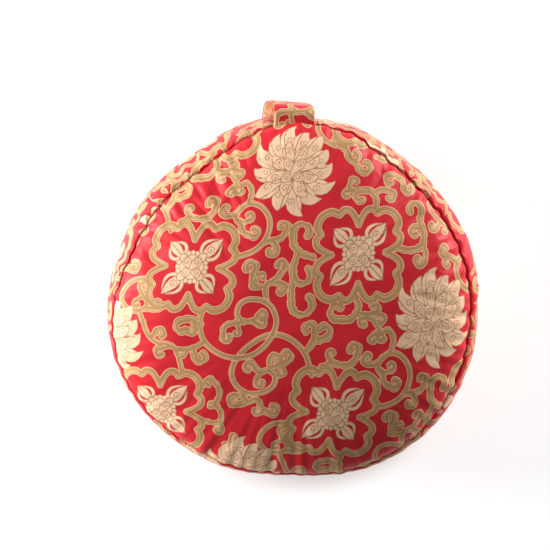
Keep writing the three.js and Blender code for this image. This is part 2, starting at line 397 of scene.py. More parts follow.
# The cross flower: four buds with a leaf on each side, a round heart with beads along its rim, a
# small petal over each bud's foot, and four petals in the middle. Two buds and their small petals
# are longer. Its sizes are squares, as reach from the middle, half width, and where that is fullest.
BUD_FOOT = 15
SHORT_BUD = (36, 5.4, 0.5)
LONG_BUD = (41, 5.6, 0.35)
LONG_BUD_EYE = 4  # points of the middle line count from 0
SHORT_BUD_VEIN = (0, 0.25)
LEAF_LAG = 4  # how far a leaf's tip stays behind the bud's
LEAF_ASIDE = 2.8
LEAF_BOW = 6.6
LEAF_SHAPE = (0.8, 0.9)  # where the bow is fullest, and how round it is
LEAF_HALVES = (1.8, 1.8, 0.6)  # at its foot, half-way and at its tip
HEART_RADIUS = 13.5
BEAD_RADIUS = 2.5
BEAD_REACH = 14.5
BEAD_ASIDES = (-18, 0, 18)  # degrees
SMALL_PETAL = (8, 4.2, 0.4)
SMALL_PETAL_TIPS = {False: 17, True: 20}  # on a short and on a long bud
MIDDLE_PETAL = (12, 4.6, 0.6)
MIDDLE_PETAL_EYE = 7
DOT = 0.01  # length of a stroke that is a round spot


def draw_cross_flower(chart, middle, turn):
    middle = np.array(middle, float)

    def ray(eighth, aside=0):
        return np.radians(turn + 45 * eighth + aside)

    def spot(place, radius, signs):
        chart.petal([place, place + DOT], [radius, radius], signs)

    buds = {1: False, 3: True, 5: False, 7: True}  # eighth of a turn, and whether the bud is long
    for eighth, is_long in buds.items():
        reach, wide, fullest = LONG_BUD if is_long else SHORT_BUD
        line = petal_line(middle, ray(eighth), BUD_FOOT, reach)
        ahead = (line[-1] - line[0]) / np.hypot(*(line[-1] - line[0]))
        aside = np.array([-ahead[1], ahead[0]])
        t = np.linspace(0, 1, PETAL_POINTS)
        bow = LEAF_ASIDE + LEAF_BOW * np.sin(np.pi * t ** LEAF_SHAPE[0]) ** LEAF_SHAPE[1]
        for side in (-1, 1):
            leaf = line - ahead * LEAF_LAG * t[:, None] + side * aside * bow[:, None]
            chart.petal(leaf, np.interp(t, [0, 0.5, 1], LEAF_HALVES), (1, -1))
        detail = {"eye": line[LONG_BUD_EYE]} if is_long else {"vein": SHORT_BUD_VEIN}
        chart.petal(line, petal_half(wide, fullest), (-1, 1), **detail)
    spot(middle, HEART_RADIUS, (1, 1))
    for eighth in (0, 2, 4, 6):
        for place, aside in enumerate(BEAD_ASIDES):
            angle = ray(eighth, aside)
            bead = middle + np.array([np.cos(angle), np.sin(angle)]) * BEAD_REACH
            spot(bead, BEAD_RADIUS, (1 if place % 2 else -1, -1))
    for eighth, is_long in buds.items():
        foot, wide, fullest = SMALL_PETAL
        line = petal_line(middle, ray(eighth), foot, SMALL_PETAL_TIPS[is_long])
        chart.petal(line, petal_half(wide, fullest), (1, 1))
    for eighth, is_long in buds.items():
        reach, wide, fullest = MIDDLE_PETAL
        line = petal_line(middle, ray(eighth), 0, reach)
        signs = (-1, 1 if is_long else -1)
        chart.petal(line, petal_half(wide, fullest), signs, eye=line[MIDDLE_PETAL_EYE])


def draw_repeat():
    chart = Chart()
    for motif in MOTIFS:
        for place, vine in enumerate(motif):
            draw_vine(chart, vine, over=motif is FIRST_RING and place == 0)
    for motif in MOTIFS_AGAIN:
        for vine in motif:
            draw_vine(chart, vine, HALF_STEP)
    for middle, turn in CROSSES:
        draw_frame(chart, middle, turn)
        draw_cross_flower(chart, middle, turn)
    for middle in LOTUSES:
        draw_lotus(chart, np.array(middle))
    return chart


# The filled shape. It takes the outline of the frame's cushion at its two seams and its widest ring.
FACE_SEAM_HEIGHT = 0.126
BASE_SEAM_HEIGHT = 0.021
WIDEST_HEIGHT = 0.0714
SEAM_SINK = 0.0019  # how deep the face's seam is drawn in, and over how much cloth
SINK_REACH = 0.0013
CROWN_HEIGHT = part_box("cushion")[1].z
OUTLINE_WAVES = 12  # waves kept of the frame's outline, which leaves its pleats out
SWELL_ROUNDNESS = 0.41  # the band comes out of its seams the steeper, the smaller this is
CROWN_FLATNESS = 2.2  # the larger, the wider the flat of the crown
CROWN_SHOULDER = 0.55
BASE_FLAT = 0.76  # share of the base's reach that lies flat on the floor
BASE_EDGE = 0.9
STEEPEST = 0.999  # keeps the base's edge a little short of upright
PLEATS = 60
BAND_MIDDLE = 0.48  # way up the band at which the face's pleats give way to the base's
PLEAT_DEPTH = 0.0026
BASE_PLEAT_SHIFT = 23.5  # in pitches
PLEAT_JITTER = 0.33  # how unevenly the pleats are laid, in pitches
PLEAT_SEED = 11
# How the cloth runs through one knife pleat: the part of its cloth, of its pitch and of its depth
FOLD = np.array([
    (0.00, 0.00, 0.00),
    (0.15, 0.25, 0.34),
    (0.35, 0.55, 0.68),
    (0.55, 0.86, 0.94),
    (0.64, 1.05, 1.00),
    (0.72, 1.13, 0.84),
    (0.80, 1.05, 0.50),
    (0.90, 0.97, 0.16),
    (1.00, 1.00, 0.00),
])
# Share of the pleat's depth, and of its overlap, by the way up the band from one seam to the other
PLEAT_FADE = np.array([
    (0.000, 0.55, 0.75),
    (0.085, 0.90, 1.00),
    (0.200, 0.55, 0.70),
    (0.340, 0.22, 0.35),
    (0.480, 0.10, 0.08),
    (0.640, 0.22, 0.35),
    (0.800, 0.55, 0.70),
    (0.920, 0.70, 0.90),
    (1.000, 0.30, 0.75),
])
# How hard the face's seam gathers the cloth, by the bearing in degrees: the loose filling has sunk
# into the lower edge and smoothed it
GATHER = np.array([
    (0, 0.70),
    (40, 0.95),
    (75, 0.80),
    (105, 0.60),
    (135, 1.00),
    (175, 0.50),
    (210, 0.30),
    (240, 0.18),
    (270, 0.10),
    (300, 0.16),
    (325, 0.40),
    (360, 0.70),
])
# Where the cushion bulges past the smooth outline or stays inside it: bearing and spread in
# degrees, and how far
BULGES = [
    (286, 34, 0.0046),
    (252, 16, 0.0016),
    (125, 13, -0.0036),
    (69, 10, 0.0018),
    (72, 4, 0.0022),
    (163, 11, -0.0022),
]
# Where the face's seam lies nearer to the widest line, in the same terms
SEAM_SHIFTS = [(196, 34, 0.0044), (277, 40, 0.0042)]
# Slow waves round the cushion: how many, how large, and the start in radians
SPACING_WANDER = [(5, 0.011, 1.0), (13, 0.006, 2.0)]
DEPTH_WANDER = [(4, 0.2, 0.5), (7, 0.2, 2.4)]
SLUMP = [(1, 0.0016, 2.2), (2, 0.0011, 0.5)]
SEAM_WANDER = [(37, 0.0004, 0.3), (53, 0.0004, 2.1), (83, 0.0004, 4.0)]
# Beside the carrying loop the full face hangs over its seam: how far out, and over how wide a turn
OVERHANG_BEARING = 1.55
OVERHANG_SIZE = 0.0055
OVERHANG_TURN = 0.62
RING_TOLERANCE = 1e-4  # the frame's points so near to a height are on its ring

frame_points = np.array([vertex.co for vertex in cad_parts["cushion"].data.vertices])


def outline_terms(bearing):
    waves = np.arange(1, OUTLINE_WAVES + 1) * np.asarray(bearing)[..., None]
    return np.concatenate([np.ones_like(waves[..., :1]), np.cos(waves), np.sin(waves)], axis=-1)


def ring_outline(height):
    """The frame's outline at one height, as a smooth function of the bearing"""
    ring = frame_points[np.abs(frame_points[:, 2] - height) < RING_TOLERANCE]
    terms = outline_terms(np.arctan2(ring[:, 1], ring[:, 0]))
    shares = np.linalg.lstsq(terms, np.hypot(ring[:, 0], ring[:, 1]), rcond=None)[0]
    return lambda bearing: outline_terms(bearing) @ shares


face_seam_line = ring_outline(FACE_SEAM_HEIGHT)
base_seam = ring_outline(BASE_SEAM_HEIGHT)
widest_line = ring_outline(WIDEST_HEIGHT)


def wander(rows, turn):
    """Slow waves added up"""
    return sum(size * np.sin(waves * turn + start) for waves, size, start in rows)


def gather(bearing):
    return np.interp(np.degrees(bearing) % 360, GATHER[:, 0], GATHER[:, 1])


def aside_of(bearing, middle):
    """How far a bearing lies from another, by the shorter way round"""
    return (np.asarray(bearing) - middle + np.pi) % (2 * np.pi) - np.pi


def hump(aside):
    return np.exp(-(aside**2))


def bulge(bearing, rows):
    total = 0
    for middle, spread, size in rows:
        total = total + size * hump(np.degrees(aside_of(bearing, np.radians(middle))) / spread)
    return total


def widest(bearing):
    return widest_line(bearing) + bulge(bearing, BULGES)


def face_seam(bearing):
    overhang = OVERHANG_SIZE * hump(aside_of(bearing, OVERHANG_BEARING) / OVERHANG_TURN)
    shift = bulge(bearing, BULGES + SEAM_SHIFTS)
    return face_seam_line(bearing) + overhang + shift + wander(SEAM_WANDER, bearing)


# Each pleat is laid by hand, so its place, its depth and how far it laps over differ. A pleat's depth
# is measured from the band's own line, which lies a little inside its outer folds.
PLEAT_INSIDE = 0.35
DEPTH_RANGE = (0.25, 1.15)
LAP_RANGE = (0.1, 1.0)
pleat_chance = np.random.default_rng(PLEAT_SEED)
pleat_starts = np.arange(PLEATS + 1) + pleat_chance.uniform(-PLEAT_JITTER, PLEAT_JITTER, PLEATS + 1)
pleat_starts[[0, -1]] = [0, PLEATS]
pleat_depths = pleat_chance.uniform(*DEPTH_RANGE, PLEATS)
pleat_laps = pleat_chance.uniform(*LAP_RANGE, PLEATS)


def fold_at(cloth, shift):
    """Where a bit of the band's cloth lies in its pleat: pitches moved along, and depth"""
    place = (cloth + shift) % PLEATS
    pleat = np.clip(np.searchsorted(pleat_starts, place, side="right") - 1, 0, PLEATS - 1)
    pitch = pleat_starts[pleat + 1] - pleat_starts[pleat]
    part = (place - pleat_starts[pleat]) / pitch
    along = (np.interp(part, FOLD[:, 0], FOLD[:, 1]) - part) * pitch * pleat_laps[pleat]
    return along, np.interp(part, FOLD[:, 0], FOLD[:, 2]) * pleat_depths[pleat] - PLEAT_INSIDE


def spaced(cloth):
    """The bearing at a count of pleats along the cloth, as evenly spaced and as sewn"""
    turn = 2 * np.pi * cloth / PLEATS
    return turn, turn + wander(SPACING_WANDER, turn)


def point_at(reach, bearing, height):
    return np.stack([reach * np.cos(bearing), reach * np.sin(bearing), height], axis=-1)


def sink(from_seam, drawn):
    """How deep the face's seam, drawn in so hard, pulls the cloth that far from it"""
    return SEAM_SINK * drawn * hump(from_seam / SINK_REACH)


def swell(up):
    """How far the band's profile has come out from its seams to the widest line"""
    return np.clip(4 * up * (1 - up), 0, 1) ** SWELL_ROUNDNESS


def band_point(up, cloth, pleated=1):
    """A point of the band by the way up from the base seam and the count of pleats along it"""
    turn, bearing = spaced(cloth)
    near_face = up > BAND_MIDDLE
    along, rise = fold_at(cloth, np.where(near_face, 0, BASE_PLEAT_SHIFT))
    drawn = np.where(near_face, gather(turn), 1)
    depth = np.interp(up, PLEAT_FADE[:, 0], PLEAT_FADE[:, 1]) * pleated * drawn
    overlap = np.interp(up, PLEAT_FADE[:, 0], PLEAT_FADE[:, 2]) * pleated * drawn
    bearing = bearing + 2 * np.pi / PLEATS * along * overlap
    seam = np.where(near_face, face_seam(bearing), base_seam(bearing))
    reach = seam + (widest(bearing) - seam) * swell(up)
    reach = reach + PLEAT_DEPTH * depth * (1 + wander(DEPTH_WANDER, turn)) * rise
    height = BASE_SEAM_HEIGHT + (FACE_SEAM_HEIGHT - BASE_SEAM_HEIGHT) * up
    from_seam = np.hypot(reach - seam, FACE_SEAM_HEIGHT - height)
    return point_at(reach, bearing, height - sink(from_seam, drawn) * near_face)


# Creases that the face's seam draws into the panel: bearing in degrees, how far they reach in,
# their depth and their width across, in millimetres, and how far they slant in degrees
CREASES = [
    (128, 26, 1.6, 5, 14),
    (119, 20, 1.3, 4, -8),
    (137, 18, 1.0, 4, 10),
    (70, 24, 2.0, 5, -20),
    (61, 30, 1.5, 6, -12),
    (79, 14, 1.2, 4, 6),
    (101, 12, 1.0, 4, 4),
    (45, 20, 1.1, 5, 8),
    (30, 16, 1.2, 4, -6),
    (14, 18, 1.0, 5, 5),
    (-4, 15, 1.2, 4, -5),
    (-22, 18, 1.0, 5, 8),
    (-41, 14, 0.9, 5, -4),
    (158, 15, 0.9, 5, 6),
    (176, 16, 0.8, 5, -6),
    (203, 12, 0.5, 5, 5),
]
CREASE_FADE = 1.5
RIDGE_SHIFT = 1.3  # widths from a crease to the ridge that is pushed up beside it
RIDGE_HEIGHT = 0.6  # share of the crease's depth
SLANT_LENGTH = 0.1  # how far in a crease has slanted by its degrees
TUCK_DEPTH = 0.0004  # small gathers along the seams
TUCK_REACH = 0.006
FACE_TUCKS = 0.9 * PLEATS
TUCK_DRIFT = 2  # radians by which the face's tucks crowd and spread
TUCK_DRIFTS = 3  # and how many times round the cushion
# Lumps of the filling: height, length and heading of the wave in radians, and where it starts
LUMPS = [(0.00018, 0.037, 0.4, 1.1), (0.00012, 0.026, 1.9, 0.3), (0.00025, 0.051, 2.7, 2.0)]
LUMP_WINDING = 40  # keeps the waves from running straight
SEAM_CALM = 1 / 40  # share of the face's reach over which its dents fade out at the seam
MILLIMETRE = 0.001


def face_dent(share, bearing):
    """How far creases, gathers and the lumps of the filling move the face up or down"""
    seam = face_seam(bearing)
    inward = (1 - share) * seam
    uneven = FACE_TUCKS * bearing + TUCK_DRIFT * np.sin(TUCK_DRIFTS * bearing)
    dent = TUCK_DEPTH * np.exp(-inward / TUCK_REACH) * np.sin(uneven)
    for degrees, length, depth, width, slant in CREASES:
        middle = np.radians(degrees + slant * inward / SLANT_LENGTH)
        aside = aside_of(bearing, middle) * seam / (width * MILLIMETRE)
        run = np.clip(1 - inward / (length * MILLIMETRE), 0, 1) ** CREASE_FADE
        dent = dent - depth * MILLIMETRE * run * (hump(aside) - RIDGE_HEIGHT * hump(aside - RIDGE_SHIFT))
    right = seam * share * np.cos(bearing)
    ahead = seam * share * np.sin(bearing)
    for size, length, heading, start in LUMPS:
        way = right * np.cos(heading) + ahead * np.sin(heading)
        dent = dent + size * np.sin(2 * np.pi * way / length + start + LUMP_WINDING * ahead * np.cos(start))
    return dent


def face_point(share, cloth, pleated=1):
    """A point of the face by the share of its seam's reach, 1 at the seam"""
    turn, bearing = spaced(cloth)
    seam = face_seam(bearing)
    up = np.clip(1 - share**CROWN_FLATNESS, 0, 1) ** CROWN_SHOULDER
    height = FACE_SEAM_HEIGHT + (CROWN_HEIGHT - FACE_SEAM_HEIGHT) * up + up * (1 - up) * wander(SLUMP, turn)
    height = height + pleated * np.minimum(1, (1 - share) / SEAM_CALM) * face_dent(share, bearing)
    from_seam = np.hypot(seam * (1 - share), height - FACE_SEAM_HEIGHT)
    return point_at(seam * share, bearing, height - sink(from_seam, gather(turn)))


def base_point(share, cloth, pleated=1):
    """A point of the base by the share of its seam's reach. Its middle lies flat on the floor."""
    _, bearing = spaced(cloth)
    seam = base_seam(bearing)
    lift = np.clip((share - BASE_FLAT) / (1 - BASE_FLAT), 0, 1)
    height = BASE_SEAM_HEIGHT * (1 - np.sqrt(1 - lift**2 * STEEPEST)) ** BASE_EDGE
    tuck = np.exp(-(1 - share) * seam / TUCK_REACH) * np.sin(PLEATS * bearing)
    return point_at(seam * share, bearing, height + TUCK_DEPTH * lift * tuck * pleated)


# How finely the cover is netted: points round the band, steps up the band and between the rings of
# the base and the face, and the spacing of points along the face's rings
COVER_NET = dict(columns=12 * PLEATS, base_step=0.003, band_rows=92, face_step=0.0011, spacing=0.0014)
COUNTS = [720, 480, 360, 240, 180, 120, 90, 60, 40, 24, 12]  # that a ring may have
BASE_REACH = 0.15  # mean reach of the base's and the face's seam
FACE_REACH = 0.155
BASE_RINGS = (0.02, 0.999)  # shares of that reach
LAST_FACE_RING = 0.004
BASE_COARSER = 2.5  # how much wider the points on the base are spaced than on the face


def ring_count(reach, spacing):
    """The count of points that keeps them about that far apart"""
    return next((count for count in reversed(COUNTS) if 2 * np.pi * reach / count < spacing), COUNTS[0])


makers = {"base": base_point, "band": band_point, "face": face_point}
base_middle = np.array([[0, 0, 0.0]])
crown = np.array([[0, 0, CROWN_HEIGHT]])


def ring_cloth(count):
    """Where a ring's points lie along the cloth, in pleats"""
    return np.arange(count) * PLEATS / count


def ring_stack(columns, base_step, band_rows, face_step, spacing):
    """Rings of the cover from the middle of the base to the crown: panel, place on it, and count"""
    stack = []
    for share in np.arange(*BASE_RINGS, base_step / BASE_REACH):
        stack.append(("base", share, min(columns, ring_count(BASE_REACH * share, BASE_COARSER * spacing))))
    stack.append(("base", 1.0, columns))
    for turn in np.linspace(0, np.pi, band_rows)[1:-1]:
        stack.append(("band", (1 - np.cos(turn)) / 2, columns))
    for share in np.arange(1, LAST_FACE_RING, -face_step / FACE_REACH):
        stack.append(("face", share, min(columns, ring_count(FACE_REACH * share, spacing))))
    return stack


def stack_points(stack, pleated=1):
    points = [base_middle]
    for panel, place, count in stack:
        points.append(makers[panel](np.full(count, place), ring_cloth(count), pleated))
    return np.vstack([*points, crown])


def stack_starts(stack):
    """The number of each ring's first point, and of the crown"""
    return 1 + np.concatenate([[0], np.cumsum([count for _, _, count in stack])])


def stack_faces(stack):
    """Skins a stack of rings with triangles that face outwards"""
    starts = stack_starts(stack)
    first = stack[0][2]
    last = stack[-1][2]
    skin = [[(0, 1 + (k + 1) % first, 1 + k) for k in range(first)]]
    for row, ((_, _, low), (_, _, high)) in enumerate(pairwise(stack)):
        steps = max(low, high)
        k = np.arange(steps)
        a = starts[row] + (k * low // steps) % low
        b = starts[row] + ((k + 1) * low // steps) % low
        c = starts[row + 1] + (k * high // steps) % high
        d = starts[row + 1] + ((k + 1) * high // steps) % high
        skin.append(np.stack([a, b, d], axis=1)[a != b])
        skin.append(np.stack([a, d, c], axis=1)[c != d])
    skin.append([(starts[-2] + k, starts[-2] + (k + 1) % last, starts[-1]) for k in range(last)])
    return np.vstack(skin)


def new_object(name, points, polygons):
    mesh = bpy.data.meshes.new(name)
    mesh.from_pydata(points.tolist(), [], polygons.tolist() if hasattr(polygons, "tolist") else polygons)
    mesh.polygons.foreach_set("use_smooth", [True] * len(mesh.polygons))
    piece = bpy.data.objects.new(name, mesh)
    bpy.context.scene.collection.objects.link(piece)
    return piece


# The filled cover is settled by the cloth simulation on a coarse net of the same rings: its cloth has
# a little more length than its shape, is held along the face's seam and all over the base, and is
# blown out by the filling, so that it puckers. The fine net takes its moves from the coarse one.
COARSE_NET = dict(columns=240, base_step=0.009, band_rows=28, face_step=0.0036, spacing=0.0042)
CLOTH = {
    "quality": 6,
    "mass": 0.25,
    "tension_stiffness": 18,
    "compression_stiffness": 18,
    "shear_stiffness": 6,
    "bending_stiffness": 0.12,
    "vertex_group_mass": "held",
    "shrink_min": -0.028,  # the extra length, as a negative shrinkage
    "use_pressure": True,
    "uniform_pressure_force": 4,
}
CLOTH_FRAMES = 20
MOVE_CAP = 0.006  # how far a point may move
NO_LENGTH = 1e-9


def settle_cloth(stack):
    """The moves of a coarse net's points, less each ring's mean move, which would only swell it"""
    points = stack_points(stack, pleated=0)
    net = new_object("cover_net", points, stack_faces(stack))
    held = net.vertex_groups.new(name="held")
    starts = stack_starts(stack)
    pinned = [0]
    for (panel, place, count), start in zip(stack, starts):
        if panel == "base" or (panel == "face" and place == 1):
            pinned += range(start, start + count)
    held.add([int(point) for point in pinned], 1.0, "REPLACE")
    settings = net.modifiers.new("Cloth", "CLOTH").settings
    for name, value in CLOTH.items():
        setattr(settings, name, value)
    settings.effector_weights.gravity = 0
    for frame_number in range(1, CLOTH_FRAMES + 1):
        bpy.context.scene.frame_set(frame_number)
    graph = bpy.context.evaluated_depsgraph_get()
    settled = np.empty(len(points) * 3)
    net.evaluated_get(graph).data.vertices.foreach_get("co", settled)
    bpy.context.scene.frame_set(1)
    bpy.data.objects.remove(net)
    moves = settled.reshape(-1, 3) - points
    for (_, _, count), start in zip(stack, starts):
        ring = points[start : start + count, :2]
        out = np.column_stack([ring / np.hypot(*ring.T)[:, None], np.zeros(count)])
        move = moves[start : start + count]
        away = np.sum(move * out, axis=1)
        move -= np.mean(away) * out
        move[:, 2] -= np.mean(move[:, 2])
    length = np.linalg.norm(moves, axis=1)
    moves *= np.minimum(1, MOVE_CAP / np.maximum(length, NO_LENGTH))[:, None]
    return moves


PANEL_ORDER = {"base": 0, "band": 1, "face": 2}


def row_of(panel, place):
    """A ring's place on the way from the base's middle to the crown, which is 3"""
    return PANEL_ORDER[panel] + (1 - place if panel == "face" else place)


def carry_moves(net, moves, stack):
    """The coarse net's moves at each point of the fine stack of rings"""
    still = np.zeros((1, 3))
    carried = [still]
    net_starts = stack_starts(net)
    net_rows = np.array([row_of(panel, place) for panel, place, _ in net])
    for panel, place, count in stack:
        row = row_of(panel, place)
        upper = int(np.clip(np.searchsorted(net_rows, row), 1, len(net_rows) - 1))
        share = np.clip((row - net_rows[upper - 1]) / (net_rows[upper] - net_rows[upper - 1]), 0, 1)
        move = 0
        for index, weight in ((upper - 1, 1 - share), (upper, share)):
            net_count = net[index][2]
            known = moves[net_starts[index] : net_starts[index] + net_count]
            known = np.vstack([known, known[:1]])
            known_at = np.append(ring_cloth(net_count), PLEATS)
            here = [np.interp(ring_cloth(count), known_at, axis) for axis in known.T]
            move = move + weight * np.column_stack(here)
        carried.append(move)
    return np.vstack([*carried, still])


rings = ring_stack(**COVER_NET)
starts = stack_starts(rings)
cover_points = stack_points(rings)
net_rings = ring_stack(**COARSE_NET)
moves = carry_moves(net_rings, settle_cloth(net_rings), rings)
# The cloth puckers most where its seam gathers hardest
puckered = gather(np.arctan2(cover_points[:, 1], cover_points[:, 0])) ** 2
cover_points = cover_points + puckered[:, None] * moves
cover_points[:, 2] = np.maximum(cover_points[:, 2], 0)
cover_faces = stack_faces(rings)
cover = new_object("cushion_cover", cover_points, cover_faces)

# How the brocade lies on the cushion: where the middle of one cross comes on the face, and how the
# cloth was stretched a little off its grain by the sewing
CROSS_PLACE = np.array([-0.0934, 0.0367])
GRAIN_TILT = 0.09  # rise of the grain across the face, at the height of the first cross
GRAIN_MOST = 1.2  # it grows upwards to that many times as much
GRAIN_WIDTH = 200  # squares over which it dies out sideways
GRAIN_REACH = 146  # and downwards
BAND_CLOTH = 0.0197  # cloth in one pleat of the band
BAND_START = np.array([0.06, 0.0664])
BASE_START = (40, 30)  # squares
BAND_SWELL = 0.011  # how far the band comes out between its seams
BAND_STEPS = 60
STRETCH_SHARE = 0.5  # how the crown's slope uses up cloth towards its rim
STRETCH_POWER = 6

# Cloth used on the way up the band
band_ups = (1 - np.cos(np.linspace(0, np.pi, BAND_STEPS))) / 2
profile = np.stack([swell(band_ups) * BAND_SWELL, band_ups * (FACE_SEAM_HEIGHT - BASE_SEAM_HEIGHT)], axis=-1)
band_drops = np.concatenate([[0], np.cumsum(np.hypot(*np.diff(profile, axis=0).T))])


def flat_place(panel, place, point, cloth):
    """Where a point of the cover lies on the flat cloth, in squares of the chart"""
    if panel == "band":
        flat = np.stack([cloth * BAND_CLOTH, np.interp(place, band_ups, band_drops)], axis=-1) + BAND_START
        return flat / SQUARE * (1, -1)
    if panel == "face":
        slope = (CROWN_HEIGHT - FACE_SEAM_HEIGHT) / FACE_REACH
        stretch = 1 + STRETCH_SHARE * slope**2 * place**STRETCH_POWER
        flat = (point[:, :2] * stretch[:, None] - CROSS_PLACE) / SQUARE * (1, -1)
        tilt = GRAIN_TILT * np.clip(1 - flat[:, 1] / GRAIN_REACH, 0, GRAIN_MOST)
        flat[:, 1] += tilt * GRAIN_WIDTH * np.tanh(flat[:, 0] / GRAIN_WIDTH)
        return flat
    return -point[:, :2] / SQUARE + BASE_START


places = [flat_place("base", np.zeros(1), base_middle, np.zeros(1))]
for (panel, place, count), start in zip(rings, starts):
    points = cover_points[start : start + count]
    places.append(flat_place(panel, np.full(count, place), points, ring_cloth(count)))
places.append(flat_place("face", np.zeros(1), crown, np.zeros(1)))
cover_chart = np.vstack(places)

# The map on which the cover's cloth is laid out: the two round panels side by side, and the
# band in two strips below them
MAP_METRES = 0.74  # cloth along the whole map
DISC_MIDDLES = {"face": (0.25, 0.75), "base": (0.75, 0.75)}
STRIP_FEET = [0.27, 0.05]  # places on the map, which is 1 along
STRIP_START = 0.08


def disc_map(panel, points):
    side = -1 if panel == "base" else 1
    return points[..., :2] * (side, 1) / MAP_METRES + DISC_MIDDLES[panel]


def cover_map(stack, points, polygons):
    """Each corner's place on the map"""
    starts = stack_starts(stack)
    ring = np.clip(np.searchsorted(starts, polygons, side="right") - 1, 0, len(stack) - 1)
    counts = np.array([count for _, _, count in stack])
    kinds = np.array([panel for panel, _, _ in stack])
    ups = np.array([{"base": 0.0, "band": place, "face": 1.0}[panel] for panel, place, _ in stack])
    on_band = (kinds[ring] == "band").any(axis=1)
    on_face = (kinds[ring] == "face").all(axis=1)
    corners = points[polygons]
    at = np.where(on_face[:, None, None], disc_map("face", corners), disc_map("base", corners))
    turn = (polygons - starts[ring]) / counts[ring]
    wraps = np.ptp(turn, axis=1) > 0.5
    turn = np.where(wraps[:, None] & (turn < 0.5), turn + 1, turn)
    second = turn.mean(axis=1) > 0.5
    across = STRIP_START + (turn - 0.5 * second[:, None]) * PLEATS * BAND_CLOTH / MAP_METRES
    foot = np.where(second, STRIP_FEET[1], STRIP_FEET[0])[:, None]
    up = foot + np.interp(ups[ring], band_ups, band_drops) / MAP_METRES
    return np.where(on_band[:, None, None], np.stack([across, up], axis=-1), at)


def add_map(piece, places):
    layer = piece.data.uv_layers.new(name="OFBake")
    layer.data.foreach_set("uv", np.asarray(places, np.float32).ravel())


add_map(cover, cover_map(rings, cover_points, cover_faces))
chart = draw_repeat()


def add_figure(piece, places):
    """Stores what the brocade's material reads: the flat cloth and the distances to its figures"""
    found = chart.sample(places)
    attributes = piece.data.attributes
    for name in ("gold", "offset", "cream", "first", "second"):
        layer = attributes.new("figure_" + name, "FLOAT", "POINT")
        layer.data.foreach_set("value", found[name].astype(np.float32))
    eye = np.column_stack([found["eye_x"], found["eye_y"]])
    for name, flat in (("figure_eye", eye), ("flat_cloth", places * SQUARE)):
        layer = attributes.new(name, "FLOAT_VECTOR", "POINT")
        layer.data.foreach_set("vector", np.pad(flat, ((0, 0), (0, 1))).astype(np.float32).ravel())


add_figure(cover, cover_chart)


# The brocade: a red satin ground with gold figures edged in cream thread, and cream flowers drawn
# with a brown thread, all woven in one cloth. A pair of colours is the thread's darkest and lightest.
GROUND = (0.62, 0.016, 0.026, 1), (0.82, 0.034, 0.046, 1)
# Painted shade: a darker red that slow patches of the ground are mixed towards, in place of the satin's
# changing sheen
GROUND_PAINTED_SHADE = (0.45, 0.008, 0.015, 1)
GOLD = (0.38, 0.195, 0.07, 1), (0.60, 0.35, 0.15, 1)
GOLD_EDGE = (0.86, 0.48, 0.28, 1)
GOLD_LINE = (0.72, 0.50, 0.27, 1)
CREAM = (0.86, 0.43, 0.25, 1), (1.0, 0.76, 0.50, 1)
BROWN = (0.46, 0.24, 0.125, 1)
PAINTED_SHADE_SHARE = 0.30
THREADS_PER_METRE = (520, 1300, 1)
THREAD_DETAIL = 2.0
SHADE_PATCHES_PER_METRE = 42.0
SHADE_PATCH_DETAIL = 3.0
# Widths and places of the woven lines, in squares
SOFT_EDGE = 0.12
EDGE_WIDTH = 0.85
GOLD_LINE_ASIDE = 1.0  # from the vine's middle
GOLD_LINE_HALF = 0.36
GOLD_LINE_INSIDE = 1.6  # from the vine's outline
BROWN_HALF = 0.36
# The spirals in the petals: how far one turn winds, how wide and how long they are, and how clear of
# the petal's own thread they stay
SPIRAL_PITCH = 2.7
SPIRAL_HALF = 0.15  # share of the pitch
SPIRAL_SOFT = 0.03
SPIRAL_REACH = 4.2
SPIRAL_CLEAR = 0.85
SATIN_ROUGHNESS = 0.46
FIGURE_ROUGHER = 0.12
SATIN_SPECULAR = 0.2
RELIEF = 0.00025
RELIEF_STRENGTH = 0.5
THREAD_RELIEF = 0.35  # shares of the figures' own height
BROWN_RELIEF = 0.8


def shade(tree, kind, **settings):
    node = tree.nodes.new("ShaderNode" + kind)
    for name, value in settings.items():
        setattr(node, name, value)
    return node


def plug(tree, socket, value):
    """Gives a socket a number, a colour or another node's output"""
    if hasattr(value, "links"):
        tree.links.new(value, socket)
    else:
        socket.default_value = value


def feed(tree, node, *values):
    """Plugs values into a node's inputs, in order, and returns its first output"""
    for socket, value in zip([socket for socket in node.inputs if socket.enabled], values):
        plug(tree, socket, value)
    return next(socket for socket in node.outputs if socket.enabled)


